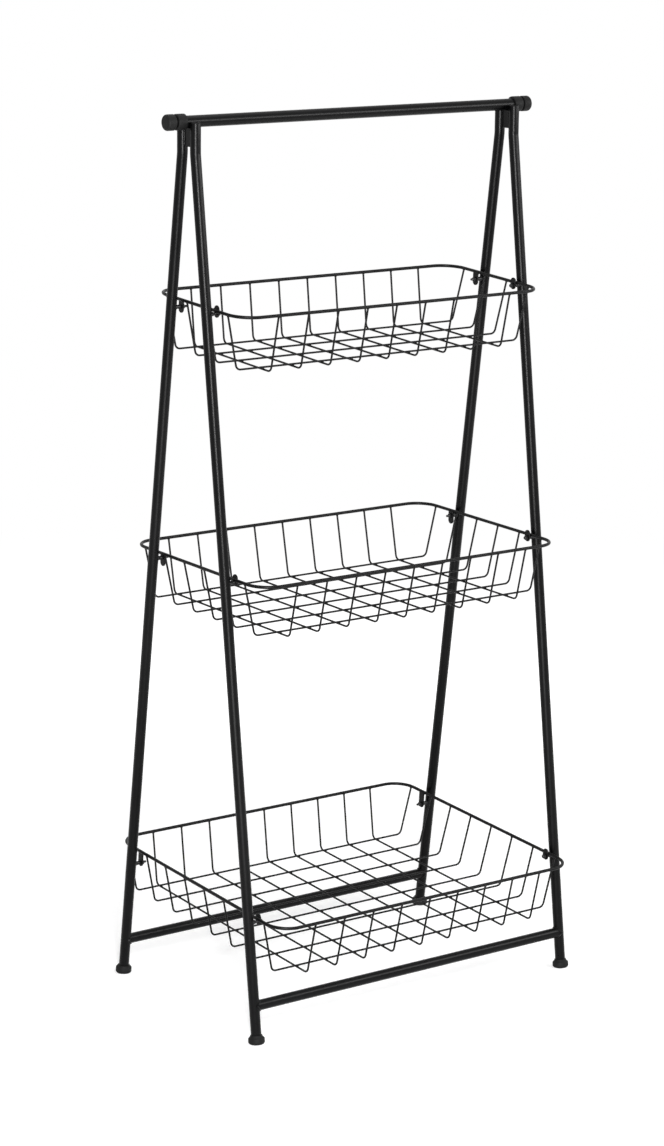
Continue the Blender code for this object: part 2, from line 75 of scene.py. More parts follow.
RIM_CORNER_RADIUS = 0.0280
END_FLARE = 0.0150           # how much further out the rim is than the floor, at the left and right
WALL_BEND_RADIUS = 0.0070
SIDE_SPACE = 0.0200          # least space between the floor's left and right edges and a wire
FRONT_SPACE = 0.0060         # the same at its front and rear edges
FALL_RUN = 0.1000            # a tier's fall towards the front is given over this depth

# Heights are shares of the bar's height, rim_y and floor_y are half sizes, and depth is from rim to floor
TIERS = {
    "top": {
        "height_share": 0.8024, "rim_y": 0.0923, "floor_y": 0.0803, "depth": 0.0688,
        "basket_shift": 0.0, "wire_shift": 0.0, "fall": 0.0055, "rear_drop": 0.0090,
    },
    "middle": {
        "height_share": 0.5124, "rim_y": 0.1382, "floor_y": 0.1230, "depth": 0.0675,
        "basket_shift": 0.0034, "wire_shift": 0.0058, "fall": 0.0014, "rear_drop": 0.0058,
    },
    "bottom": {
        "height_share": 0.1447, "rim_y": 0.1780, "floor_y": 0.1652, "depth": 0.0675,
        "basket_shift": 0.0, "wire_shift": 0.0050, "fall": 0.0056, "rear_drop": 0.0161,
    },
}

LUG_THICKNESS = 0.0020       # a lug is the plate by which a basket is bolted to a leg
LUG_WIDTH = 0.0095
LUG_RISE = 0.0060            # how far a front lug stands up over the rim's centre line
LUG_LENGTH = 0.0165
LUG_CLEARANCE = 0.0020       # least space between a lug and a wire beside it
STUD_D = 0.0030
STUD_SHOW = 0.0040           # what stands out of an open nut
SHOULDER_D = 0.0050          # a stud's thick part
NUT_FLATS = 0.0055
NUT_HEIGHT = 0.0024
CAP_NUT_BASE = 0.0020
CAP_NUT_HEIGHT = 0.0045
CAP_NUT_DOME_D = 0.0048

# Finer detail that only this script has
FIT = 0.0001                 # smallest step from one face to the next
EDGE = 0.0004                # small rounding of a cut edge
TUBE_END_ROUNDING = 0.0012
FOOT_LIP_INSET = 0.0006      # a foot's neck is this much slimmer at its lip, as a radius
FOOT_NECK_INSET = 0.0004     # the same below the lip
FOOT_LIP_HEIGHT = 0.0016
FOOT_BAND_DROP = 0.0038      # from the lip down to the foot's widest band
FOOT_BAND_HEIGHT = 0.0046
FOOT_SOCKET_RISE = 0.0020    # the socket is modelled from this far above its bottom
FOOT_ROUNDINGS = [0, 0, 0.0006, 0.0008, 0.0010, 0.0016, 0.0009, 0]
COLLAR_ROUNDINGS = [0, 0.0012, 0.0010, 0]
CAP_ROUNDINGS = [0, 0.0030, 0.0010, 0]
BEAD_R = 0.0013              # radius of a weld bead
BEAD_RIPPLE = 900            # scale of the noise that ripples a bead
BEAD_UNEVEN = 0.4            # how much it changes the radius, as a share
GUSSET_BEAD_UNEVEN = 0.45
GUSSET_BEAD_RISE = 0.0010    # its upright beads stand this much higher than the plate
GUSSET_BEAD_OUT = 0.0003     # from the plate's face out to a bead's centre line
GUSSET_BEAD_IN = 0.0002      # from the plate's edge in to that line
LUG_BEAD_R = BEAD_R * 0.7
LUG_BEAD_ROUNDING = BEAD_R * 0.5
GUSSET_BEAD_ROUNDING = BEAD_R * 0.7
STUD_BEAD_R = 0.0007         # the weld round a stud's foot
SPOT_R = 0.0017              # a spot weld where two wires cross
SPOT_UNEVEN = 0.1
SPOT_FLATNESS = 0.85
END_SPOT_R = WIRE_D / 2 * 1.32
END_SPOT_FLATNESS = 0.9
NUGGET_SWELL = 0.14          # how much a spot weld is pushed in and out, as a share
NUGGET_RIPPLE = 1.7          # scale of the noise that does it
SADDLE_DEPTH = 0.0014        # how far a stud's thick part sinks into the leg's round side
THREAD_PITCH = 0.0006
THREAD_DEPTH = 0.00022
THREAD_STEEPNESS = 1.25
THREAD_CREST = 0.12          # share taken off the depth, which leaves a flat crest
TIP_CHAMFER = 0.0006
NUT_CHAMFER = 0.0006
NUT_FACE = 0.985             # the round face on a nut's end, as a share of its flats
DOME_CHAMFER = 0.4           # height of the chamfer under a dome, as a share of the other's
BORE_CHAMFER = 0.0004

# Steps through the noise that set one weld apart from the next
LUG_SEED_STEP = 300
STUD_SEED_STEP = 50
SPOT_SEED_STEP = 0.7
NUGGET_SEED_STEPS = (3.1, 1.7)

# Into how many parts round shapes are divided
TUBE_STEPS = 40
BAR_STEPS = 48
CAP_STEPS = 56
FOOT_STEPS = 48
RIM_STEPS = 20
WIRE_STEPS = 14
BEAD_STEPS = 10
STUD_BEAD_STEPS = 8
NUGGET_STEPS = 10
NUGGET_ROWS = 6
STUD_STEPS = 36
THREAD_STEPS = 24
THREAD_ROWS = 8              # in one turn of a thread
NUT_STEPS = 48
NUT_CHAMFER_STEPS = 3
DOME_STEPS = 8
BEND_STEPS = 8
CORNER_STEPS = 16
EDGE_STEPS = 4
CAP_EDGE_STEPS = 6
LUG_STEPS = 16
LUG_BEAD_LENGTH_STEPS = 12
GUSSET_UPRIGHT_STEPS = 24
GUSSET_LEVEL_STEPS = 16

# Edges that turn by more degrees than this are shaded sharp
SHARP = 32
CROSS_BAR_SHARP = 25
NUT_SHARP = 24

LEG_TOP_Y = (BAR_D + TUBE_D) / 2 + GAP
KNEE_Z = BAR_HEIGHT - KNEE_DROP
LEG_SLOPE = (FOOT_Y - LEG_TOP_Y) / KNEE_Z
LEG_ANGLE = atan(LEG_SLOPE)
LEG_INNER_X = LEG_X - TUBE_D / 2
RIM_X = LEG_INNER_X - RIM_GAP - RIM_D / 2
LUG_X = RIM_X - RIM_D / 2 - LUG_THICKNESS / 2 + WELD_BITE
FLOOR_X = RIM_X - END_FLARE
NUT_SEAT = LEG_X - LUG_X + LUG_THICKNESS / 2 + GAP
NUT_CORNER = NUT_FLATS / 2 / cos(pi / 6)


def leg_y(z):
    """Distance of a leg's centre line from the middle, at a height below its bend."""
    return FOOT_Y - LEG_SLOPE * z


def rim_height(tier):
    """Height of a rim's middle, about which its basket leans."""
    return tier["height_share"] * BAR_HEIGHT


def stud_spots(tier):
    """Distance and height of a tier's studs on the legs' centre lines, front and rear."""
    fall = tier["fall"] / FALL_RUN
    beside_rim = (RIM_D + SHOULDER_D) / 2 + GAP
    under_rim = (RIM_D + STUD_D) / 2 + GAP
    drops = {"front": under_rim, "rear": max(tier["rear_drop"], beside_rim)}
    spots = {}
    for end_name, end in ENDS.items():
        level = rim_height(tier) - drops[end_name] - fall * tier["basket_shift"]
        z = (level + end * fall * FOOT_Y) / (1 + end * fall * LEG_SLOPE)
        spots[end_name] = (end * leg_y(z), z)
    return spots


# Materials

MOTTLE_SCALE = 38            # patches of darker and lighter colour
MOTTLE_DETAIL = 4
GLOSS_SCALE = 210            # patches of more and less gloss
GLOSS_DETAIL = 3
RELIEF_DETAIL = 2
WAVE_HEIGHT = 0.0002
GRAIN_HEIGHT = 0.00005
NOISE_RANGE = (0.3, 0.7)     # the values that nearly all of a noise lies between

# Waves are the coarse relief and grain is the fine one, each as a scale and a strength
COATS = {
    "frame_paint": {
        "dark": (0.0008, 0.0008, 0.0009), "light": (0.0018, 0.0018, 0.0020), "rough": (0.26, 0.34),
        "waves": (420, 0.10), "grain": (2600, 0.25), "specular": 0.11,
    },
    "basket_paint": {
        "dark": (0.0010, 0.0010, 0.0011), "light": (0.0022, 0.0022, 0.0024), "rough": (0.32, 0.40),
        "waves": (520, 0.14), "grain": (2600, 0.30), "specular": 0.11,
    },
    "hardware": {
        "dark": (0.0050, 0.0050, 0.0055), "light": (0.0100, 0.0100, 0.0106), "rough": (0.28, 0.40),
        "waves": (700, 0.06), "grain": (3200, 0.25), "specular": 0.24,
    },
    "rubber": {
        "dark": (0.0040, 0.0040, 0.0040), "light": (0.0070, 0.0070, 0.0070), "rough": (0.50, 0.66),
        "waves": (500, 0.10), "grain": (1800, 0.55), "specular": 0.12,
    },
}


def map_range(tree, value, start, stop, low, high, kind="LINEAR"):
    """Maps a node's value from one range of numbers to another."""
    node = tree.nodes.new("ShaderNodeMapRange")
    node.interpolation_type = kind
    for name, number in zip(("From Min", "From Max", "To Min", "To Max"), (start, stop, low, high)):
        node.inputs[name].default_value = number
    tree.links.new(value, node.inputs["Value"])
    return node.outputs["Result"]


class Nodes:
    """Short calls for building a material's node tree."""

    def __init__(self, name):
        self.material = bpy.data.materials.new(name)
        self.material.use_nodes = True
        self.tree = self.material.node_tree
        self.shader = self.tree.nodes["Principled BSDF"]
        self.place = self.tree.nodes.new("ShaderNodeTexCoord").outputs["Object"]

    def link(self, source, target):
        self.tree.links.new(source, target)

    def noise(self, scale, detail):
        node = self.tree.nodes.new("ShaderNodeTexNoise")
        node.inputs["Scale"].default_value = scale
        node.inputs["Detail"].default_value = detail
        self.link(self.place, node.inputs["Vector"])
        return node.outputs["Fac"]

    def patches(self, scale, detail, low, high):
        """A noise spread out over a range of numbers."""
        return map_range(self.tree, self.noise(scale, detail), *NOISE_RANGE, low, high)

    def blend(self, share, first, second):
        node = self.tree.nodes.new("ShaderNodeMix")
        node.data_type = "RGBA"
        node.inputs["A"].default_value = (*first, 1)
        node.inputs["B"].default_value = (*second, 1)
        self.link(share, node.inputs["Factor"])
        return node.outputs["Result"]

    def relief(self, scale, strength, distance, under=None):
        """A noise as bumps, on top of other bumps if given."""
        node = self.tree.nodes.new("ShaderNodeBump")
        node.inputs["Strength"].default_value = strength
        node.inputs["Distance"].default_value = distance
        self.link(self.noise(scale, RELIEF_DETAIL), node.inputs["Height"])
        if under is not None:
            self.link(under, node.inputs["Normal"])
        return node.outputs["Normal"]


def coat(name, look):
    """A paint or plastic: mottled black, uneven gloss, and two sizes of surface relief."""
    nodes = Nodes(name)
    inputs = nodes.shader.inputs
    mottle = nodes.patches(MOTTLE_SCALE, MOTTLE_DETAIL, 0, 1)
    nodes.link(nodes.blend(mottle, look["dark"], look["light"]), inputs["Base Color"])
    nodes.link(nodes.patches(GLOSS_SCALE, GLOSS_DETAIL, *look["rough"]), inputs["Roughness"])
    waves = nodes.relief(*look["waves"], WAVE_HEIGHT)
    nodes.link(nodes.relief(*look["grain"], GRAIN_HEIGHT, waves), inputs["Normal"])
    inputs["Specular IOR Level"].default_value = look["specular"]
    return nodes.material


MATERIALS = {name: coat(name, look) for name, look in COATS.items()}


# Building blocks

class Shell:
    """Collects the faces of one piece."""

    def __init__(self):
        self.points = []
        self.faces = []

    def rings(self, rings, loop=False):
        """Skins a row of rings that have the same number of points. A ring of one point is a tip.

        The row's ends are closed, unless it is a loop.
        """
        starts = []
        for ring in rings:
            starts.append((len(self.points), len(ring)))
            self.points += [Vector(p) for p in ring]
        pairs = list(zip(starts, starts[1:]))
        if loop:
            pairs.append((starts[-1], starts[0]))
        for (a, many_a), (b, many_b) in pairs:
            many = max(many_a, many_b)
            for i in range(many):
                j = (i + 1) % many
                if many_a == 1:
                    self.faces.append((a, b + j, b + i))
                elif many_b == 1:
                    self.faces.append((a + i, a + j, b))
                else:
                    self.faces.append((a + i, a + j, b + j, b + i))
        if not loop:
            for start, many in (starts[0], starts[-1]):
                if many > 2:
                    self.faces.append(tuple(range(start, start + many)))

    def place(self, matrix, start=0):
        """Moves all points, or those from a number on."""
        for i in range(start, len(self.points)):
            self.points[i] = matrix @ self.points[i]

    def piece(self, name, slot, replaces, sharp=SHARP):
        """Makes the piece, which rides on the one body and stands for the solids that it replaces."""
        mesh = bpy.data.meshes.new(name)
        mesh.from_pydata(self.points, [], self.faces)
        bm = bmesh.new()
        bm.from_mesh(mesh)
        bmesh.ops.recalc_face_normals(bm, faces=bm.faces)
        bm.to_mesh(mesh)
        bm.free()
        mesh.shade_smooth()
        mesh.set_sharp_from_angle(angle=radians(sharp))
        mesh.materials.append(MATERIALS[slot])
        obj = bpy.data.objects.new(name, mesh)
        bpy.context.scene.collection.objects.link(obj)
        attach(obj, "root")
        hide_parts(*replaces)


def rounded_end(end, inner, radius, size):
    """Points and radii of a rod's rounded end, from its full radius outwards."""
    along = (inner - end).normalized()
    points, radii = [], []
    for i in range(EDGE_STEPS):
        angle = pi / 2 * i / EDGE_STEPS
        points.append(end + along * size * (1 - sin(angle)))
        radii.append(radius - size * (1 - cos(angle)))
    return points, radii


def sweep(shell, points, radius, steps, loop=False, round_end=0.0, uneven=0.0, seed=0.0):
    """A round rod along a line of points. A seed is any number that sets an uneven rod apart."""
    points = [Vector(p) for p in points]
    radii = [radius] * len(points)
    if round_end:
        head, head_radii = rounded_end(points[0], points[1], radius, round_end)
        tail, tail_radii = rounded_end(points[-1], points[-2], radius, round_end)
        points = head[::-1] + points[1:-1] + tail
        radii = head_radii[::-1] + radii[1:-1] + tail_radii
    count = len(points)
    rings = []
    normal = None
    previous = None
    for i, point in enumerate(points):
        before = points[i - 1] if loop or i else point
        after = points[(i + 1) % count] if loop or i < count - 1 else point
        tangent = (after - before).normalized()
        if normal is None:
            normal = tangent.orthogonal().normalized()
        else:
            normal = previous.rotation_difference(tangent) @ normal
        normal = (normal - tangent * normal.dot(tangent)).normalized()
        previous = tangent
        across = tangent.cross(normal)
        size = radii[i]
        if uneven:
            size *= 1 + uneven * noise.noise(point * BEAD_RIPPLE + Vector((seed, 0, 0)))
        ring = []
        for k in range(steps):
            angle = 2 * pi * k / steps
            ring.append(point + (normal * cos(angle) + across * sin(angle)) * size)
        rings.append(ring)
    shell.rings(rings, loop)


def fillet(before, corner, after, radius, segments):
    """Points of an arc that rounds a corner between two straight runs."""
    before, corner, after = Vector(before), Vector(corner), Vector(after)
    back, ahead = (before - corner).normalized(), (after - corner).normalized()
    half = back.angle(ahead) / 2
    centre = corner + (back + ahead).normalized() * (radius / sin(half))
    start = corner + back * (radius / tan(half)) - centre
    finish = corner + ahead * (radius / tan(half)) - centre
    turn = start.angle(finish)
    points = []
    for i in range(segments + 1):
        share = i / segments
        points.append(centre + (start * sin((1 - share) * turn) + finish * sin(share * turn)) / sin(turn))
    return points


def rounded(profile, radii, segments=EDGE_STEPS):
    """A profile with its corners rounded."""
    points = [profile[0]]
    for i in range(1, len(profile) - 1):
        if radii[i]:
            before, corner, after = [(r, z, 0) for r, z in profile[i - 1:i + 2]]
            points += [(p.x, p.y) for p in fillet(before, corner, after, radii[i], segments)]
        else:
            points.append(profile[i])
    points.append(profile[-1])
    return points


def turned(shell, profile, steps, matrix, loop=False):
    """A shape turned about Z. A profile's radius is a number, or a function of the angle."""
    start = len(shell.points)
    rings = []
    for radius, z in profile:
        if radius == 0:
            rings.append([(0, 0, z)])
            continue
        ring = []
        for k in range(steps):
            angle = 2 * pi * k / steps
            size = radius(angle) if callable(radius) else radius
            ring.append((size * cos(angle), size * sin(angle), z))
        rings.append(ring)
    shell.rings(rings, loop)
    shell.place(matrix, start)


def nugget(shell, centre, radius, flatness, seed):
    """A small uneven lump of weld metal."""
    start = len(shell.points)
    profile = [(0, 1)]
    for row in range(1, NUGGET_ROWS):
        angle = pi * row / NUGGET_ROWS
        profile.append((sin(angle), cos(angle)))
    profile.append((0, -1))
    turned(shell, profile, NUGGET_STEPS, Matrix.Identity(4))
    across, along = NUGGET_SEED_STEPS
    for i in range(start, len(shell.points)):
        point = shell.points[i]
        spot = point * NUGGET_RIPPLE + Vector((seed * across, seed * along, 0))
        swell = 1 + NUGGET_SWELL * noise.noise(spot)
        point = Vector((point.x * radius, point.y * radius, point.z * radius * flatness)) * swell
        shell.points[i] = Vector(centre) + point


def slices(thickness):
    """Place and inset of a plate's four outlines, which give it rounded edges."""
    half = thickness / 2
    return [(-half, EDGE), (-half + EDGE, 0), (half - EDGE, 0), (half, EDGE)]


def along_x(side, y, z):
    """Lays a shape's Z axis along X, with its start on a leg's centre line and its end outwards."""
    return Matrix.Translation((side * LEG_X, y, z)) @ Matrix.Rotation(side * pi / 2, 4, "Y")


# Frame

def build_legs():
    """Slanted tubes that bend straight up beside the top bar."""
    for side_name, side in SIDES.items():
        for end_name, end in ENDS.items():
            x = side * LEG_X
            floor = Vector((x, end * FOOT_Y, 0))
            knee = Vector((x, end * LEG_TOP_Y, KNEE_Z))
            top = Vector((x, end * LEG_TOP_Y, BAR_HEIGHT))
            start = floor + (knee - floor).normalized() * (FOOT_SOLE + GAP)
            points = [start, *fillet(start, knee, top, KNEE_RADIUS, BEND_STEPS), top]
            shell = Shell()
            sweep(shell, points, TUBE_D / 2, TUBE_STEPS, round_end=TUBE_END_ROUNDING)
            shell.piece(f"tube_leg_{end_name}_{side_name}", "frame_paint", [f"leg_{end_name}_{side_name}"])


def build_feet():
    """Mushroom-shaped rubber feet that stand flat on the floor, though the legs slant."""
    bore = TUBE_D / 2 + FIT
    neck = FOOT_NECK_D / 2
    band = FOOT_HEIGHT - FOOT_BAND_DROP
    profile = rounded([
        (bore, FOOT_SOLE + FOOT_SOCKET_RISE),
        (bore, FOOT_HEIGHT),
        (neck - FOOT_LIP_INSET, FOOT_HEIGHT),
        (neck - FOOT_NECK_INSET, FOOT_HEIGHT - FOOT_LIP_HEIGHT),
        (FOOT_D / 2, band),
        (FOOT_D / 2, band - FOOT_BAND_HEIGHT),
        (FOOT_SOLE_D / 2, 0),
        (0, 0),
    ], FOOT_ROUNDINGS)
    for side_name, side in SIDES.items():
        for end_name, end in ENDS.items():
            slant = Matrix.Rotation(end * LEG_ANGLE, 4, "X")
            shell = Shell()
            turned(shell, profile, FOOT_STEPS, Matrix.Translation((side * LEG_X, end * FOOT_Y, 0)) @ slant)
            # Points near the floor are drawn down to it, which makes the sole flat
            for point in shell.points:
                share = min(max(point.z / FOOT_SOLE, 0), 1)
                point.z = max(point.z, 0) * (1 + share) / 2
            shell.piece(f"cap_foot_{end_name}_{side_name}", "rubber", [f"foot_{end_name}_{side_name}"])


def build_cross_bars():
    """Tubes whose ends follow the legs' round sides, with a weld bead round each end."""
    radius = TUBE_D / 2
    for end_name, end in ENDS.items():
        y, z = end * leg_y(CROSS_BAR_HEIGHT), CROSS_BAR_HEIGHT
        across = Vector((0, cos(LEG_ANGLE), end * sin(LEG_ANGLE)))
        shell = Shell()
        rings = []
        for side in SIDES.values():
            ring = []
            for k in range(TUBE_STEPS):
                angle = 2 * pi * k / TUBE_STEPS
                point = Vector((0, radius * cos(angle), radius * sin(angle)))
                offset = min(abs(point.dot(across)), radius)
                point.x = side * (LEG_X - sqrt(radius ** 2 - offset ** 2))
                ring.append(point + Vector((0, y, z)))
            rings.append(ring)
            sweep(shell, ring, BEAD_R, BEAD_STEPS, loop=True, uneven=BEAD_UNEVEN, seed=side * 5 + end)
        shell.rings(rings)
        shell.piece(f"tube_cross_bar_{end_name}", "frame_paint", [f"cross_bar_{end_name}"], CROSS_BAR_SHARP)


def build_top_bar():
    """The bar through both ends of the frame, with a collar and a cap outside each pair of legs."""
    start = LEG_X + TUBE_D / 2 + GAP
    finish = start + COLLAR_LENGTH
    reach = finish + CAP_NOTCH - GAP
    shell = Shell()
    sweep(shell, [(-reach, 0, BAR_HEIGHT), (reach, 0, BAR_HEIGHT)], BAR_D / 2, BAR_STEPS)
    shell.piece("tube_top_bar", "frame_paint", ["top_bar"])
    inner = BAR_D / 2 + FIT
    collar = rounded([
        (inner, COLLAR_LENGTH),
        (COLLAR_D / 2, COLLAR_LENGTH),
        (COLLAR_D / 2, 0),
        (inner, 0),
    ], COLLAR_ROUNDINGS)
    cap = rounded([
        (0, CAP_LENGTH),
        (CAP_D / 2, CAP_LENGTH),
        (CAP_D / 2, 0),
        (0, 0),
    ], CAP_ROUNDINGS, CAP_EDGE_STEPS)
    for side_name, side in SIDES.items():
        turn = Matrix.Rotation(side * pi / 2, 4, "Y")
        shell = Shell()
        turned(shell, collar, CAP_STEPS, Matrix.Translation((side * start, 0, BAR_HEIGHT)) @ turn)
        shell.piece(f"ring_bar_collar_{side_name}", "rubber", [f"bar_collar_{side_name}"])
        place = Matrix.Translation((side * (finish + CAP_NOTCH), 0, BAR_HEIGHT))
        shell = Shell()
        turned(shell, cap, CAP_STEPS, place @ turn)
        shell.piece(f"cap_bar_end_{side_name}", "rubber", [f"bar_end_cap_{side_name}"])


def build_gussets():
    """Plates between the legs of an end and under the bar, with weld beads along three edges."""
    half = GUSSET_THICKNESS / 2
    half_width = LEG_TOP_Y - TUBE_D / 2 - GAP
    top = BAR_HEIGHT - BAR_D / 2 - GAP
    bottom = top - GUSSET_HEIGHT
    outline = [(-half_width, bottom), (half_width, bottom), (half_width, top), (-half_width, top)]
    for side_name, side in SIDES.items():
        shell = Shell()
        x = side * LEG_X
        rings = []
        for dx, inset in slices(GUSSET_THICKNESS):
            rings.append([(x + dx, y, z + (inset if z == bottom else 0)) for y, z in outline])
        shell.rings(rings)
        for face in (-1, 1):
            bead_x = x + face * (half + GUSSET_BEAD_OUT)
            for edge in (-1, 1):
                bead_y = edge * (half_width - GUSSET_BEAD_IN)
                line = []
                for i in range(GUSSET_UPRIGHT_STEPS + 1):
                    z = bottom + GUSSET_BEAD_RISE + (top - bottom) * i / GUSSET_UPRIGHT_STEPS
                    line.append((bead_x, bead_y, z))
                sweep(shell, line, BEAD_R, BEAD_STEPS, round_end=GUSSET_BEAD_ROUNDING,
                      uneven=GUSSET_BEAD_UNEVEN, seed=face * 7 + edge * 3 + side)
            line = []
            for i in range(GUSSET_LEVEL_STEPS + 1):
                bead_y = half_width * (2 * i / GUSSET_LEVEL_STEPS - 1)
                line.append((bead_x, bead_y, top + GUSSET_BEAD_IN))
            sweep(shell, line, BEAD_R, BEAD_STEPS, uneven=GUSSET_BEAD_UNEVEN, seed=face * 11 + side)
        shell.piece(f"plate_gusset_{side_name}", "frame_paint", [f"gusset_{side_name}"])


# Baskets

def rim_points(half_x, half_y):
    """Centre line of a rim, a rectangle with round corners."""
    corners = [(half_x, half_y), (-half_x, half_y), (-half_x, -half_y), (half_x, -half_y)]
    points = []
    for i, (x, y) in enumerate(corners):
        before, after = corners[i - 1], corners[(i + 1) % len(corners)]
        points += fillet((*before, 0), (x, y, 0), (*after, 0), RIM_CORNER_RADIUS, CORNER_STEPS)
    return points


def rim_reach(offset, half_along, half_across):
    """How far out a wire meets the rim, which is nearer where the wire ends in a round corner."""
    into_corner = abs(offset) - (half_across - RIM_CORNER_RADIUS)
    if into_corner <= 0:
        return half_along
    return half_along - RIM_CORNER_RADIUS + sqrt(RIM_CORNER_RADIUS ** 2 - into_corner ** 2)


def wire_points(top, bottom, depth, place):
    """Centre line of a wire from rim to rim, whose floor and walls meet in bends."""
    outline = [(-top, 0), (-bottom, -depth), (bottom, -depth), (top, 0)]
    corners = [Vector((a, 0, z)) for a, z in outline]
    points = [corners[0]]
    for i in (1, 2):
        points += fillet(corners[i - 1], corners[i], corners[i + 1], WALL_BEND_RADIUS, BEND_STEPS)
    points.append(corners[3])
    return [Vector(place(p.x, p.z)) for p in points]


def wire_offsets(half_floor, space):
    """Places of as many wires as the floor holds, centred and a pitch apart."""
    gaps = int(2 * (half_floor - space) / PITCH)
    return [(i - gaps / 2) * PITCH for i in range(gaps + 1)]


def clear_of_lugs(offset, lugs):
    """A wire that would meet a lug runs past the lug's nearer side instead."""
    reach = (LUG_WIDTH + WIRE_D) / 2 + LUG_CLEARANCE
    for spot in lugs:
        if abs(offset - spot) < reach:
            offset = spot + (reach if offset > spot else -reach)
    return offset


def half_circle(x, y, z, radius, start):
    """Points of half a circle that faces along X, from an angle onwards."""
    angles = [start + pi * i / LUG_STEPS for i in range(LUG_STEPS + 1)]
    return [(x, y + radius * cos(angle), z + radius * sin(angle)) for angle in angles]


def lug(shell, side, end_name, y, z):
    """A plate on the rim's inner side, with rounded edges and weld beads along the rim.

    A front lug stands up over the rim, and a rear one hangs from it.
    """
    radius = LUG_WIDTH / 2
    high = end_name == "front"
    low = z if high else min(z, radius - LUG_LENGTH)
    rings = []
    for dx, inset in slices(LUG_THICKNESS):
        x = side * LUG_X + dx
        size = radius - inset
        if high:
            ring = half_circle(x, y, LUG_RISE - radius, size, 0)
        else:
            ring = [(x, y + size, 0), (x, y - size, 0)]
        rings.append(ring + half_circle(x, y, low, size, pi))
    shell.rings(rings)
    x = side * (RIM_X - RIM_D / 2 + WELD_BITE)
    steps = LUG_BEAD_LENGTH_STEPS
    for height in (RIM_D / 2 - EDGE, EDGE - RIM_D / 2):
        if high or height < 0:
            line = [(x, y + radius * (2 * i / steps - 1), height) for i in range(steps + 1)]
            sweep(shell, line, LUG_BEAD_R, BEAD_STEPS, round_end=LUG_BEAD_ROUNDING,
                  uneven=BEAD_UNEVEN, seed=side * y * LUG_SEED_STEP)


def build_basket(tier_name, tier):
    """A rim, the wires across and along the floor, their spot welds, and four lugs."""
    lean = atan(tier["fall"] / FALL_RUN)
    middle = Matrix.Translation((0, tier["basket_shift"], rim_height(tier)))
    place = middle @ Matrix.Rotation(lean, 4, "X")
    to_basket = place.inverted()
    lugs = {end: to_basket @ Vector((0, *spot)) for end, spot in stud_spots(tier).items()}
    rim_y = tier["rim_y"]
    low = tier["depth"]
    high = low - WIRE_D - WIRE_GAP
    shift = tier["wire_shift"] - tier["basket_shift"]
    crosses = wire_offsets(FLOOR_X, SIDE_SPACE)
    offsets = wire_offsets(tier["floor_y"], FRONT_SPACE)
    longs = [clear_of_lugs(offset + shift, [spot.y for spot in lugs.values()]) for offset in offsets]
    wires = []
    for x in crosses:
        wires.append(wire_points(rim_reach(x, rim_y, RIM_X), tier["floor_y"], low, lambda a, z: (x, a, z)))
    for y in longs:
        wires.append(wire_points(rim_reach(y, RIM_X, rim_y), FLOOR_X, high, lambda a, z: (a, y, z)))

    shell = Shell()
    sweep(shell, rim_points(RIM_X, rim_y), RIM_D / 2, RIM_STEPS, loop=True)
    for points in wires:
        sweep(shell, points, WIRE_D / 2, WIRE_STEPS)
    seed = 0
    for x in crosses:
        for y in longs:
            seed += 1
            size = SPOT_R * (1 + SPOT_UNEVEN * noise.noise(Vector((seed * SPOT_SEED_STEP, 0, 0))))
            nugget(shell, (x, y, -(low + high) / 2), size, SPOT_FLATNESS, seed)
    for points in wires:
        for top, below in ((points[0], points[1]), (points[-1], points[-2])):
            seed += 1
            down = (below - top).normalized()
            nugget(shell, top + down * (RIM_D / 2 - FIT), END_SPOT_R, END_SPOT_FLATNESS, seed)
    for end_name, spot in lugs.items():
        for side in SIDES.values():
            lug(shell, side, end_name, spot.y, spot.z)
    shell.place(place)
    shell.piece(f"wires_basket_{tier_name}", "basket_paint", [f"basket_{tier_name}"])


# Fasteners

def thread(shell, top, bottom, radius, matrix):
    """A threaded rod's side, from top down to a chamfered tip."""
    rows = int((top - bottom) / THREAD_PITCH * THREAD_ROWS)
    rings = []
    for row in range(rows + 1):
        z = top + (bottom - top) * row / rows
        ring = []
        for k in range(THREAD_STEPS):
            angle = 2 * pi * k / THREAD_STEPS
            phase = (z / THREAD_PITCH - k / THREAD_STEPS) % 1
            groove = 1 - abs(2 * phase - 1)
            size = radius - THREAD_DEPTH * min(max(THREAD_STEEPNESS * groove - THREAD_CREST, 0), 1)
            size = min(size, radius - TIP_CHAMFER + (z - bottom))
            ring.append((size * cos(angle), size * sin(angle), z))
        rings.append(ring)
    start = len(shell.points)
    shell.rings(rings)
    shell.place(matrix, start)


def stud(name, node, shoulder_end, tip, matrix):
    """A stud welded to the leg's inner side: a thick part, then a thread through the lug and the nut."""
    radius = SHOULDER_D / 2
    sunk = SADDLE_DEPTH - TUBE_D / 2
    profile = rounded([
        (0, sunk),
        (radius, sunk),
        (radius, -shoulder_end),
        (STUD_D / 2, -shoulder_end),
        (0, -shoulder_end),
    ], [0, 0, EDGE, 0, 0])
    shell = Shell()
    turned(shell, profile, STUD_STEPS, matrix)
    saddle = []
    for k in range(STUD_STEPS):
        angle = 2 * pi * k / STUD_STEPS
        across, along = radius * sin(angle), radius * cos(angle)
        saddle.append(matrix @ Vector((along, across, -sqrt((TUBE_D / 2) ** 2 - across ** 2))))
    sweep(shell, saddle, STUD_BEAD_R, STUD_BEAD_STEPS, loop=True, uneven=BEAD_UNEVEN,
          seed=matrix.translation.z * STUD_SEED_STEP)
    thread(shell, -shoulder_end, -tip, STUD_D / 2, matrix)
    shell.piece(name, "hardware", [node])


def hexagon(limit):
    """Radius of a nut's hexagon at an angle, cut to a circle."""
    def radius(angle):
        return min(NUT_FLATS / 2 / cos((angle % (pi / 3)) - pi / 6), limit)
    return radius


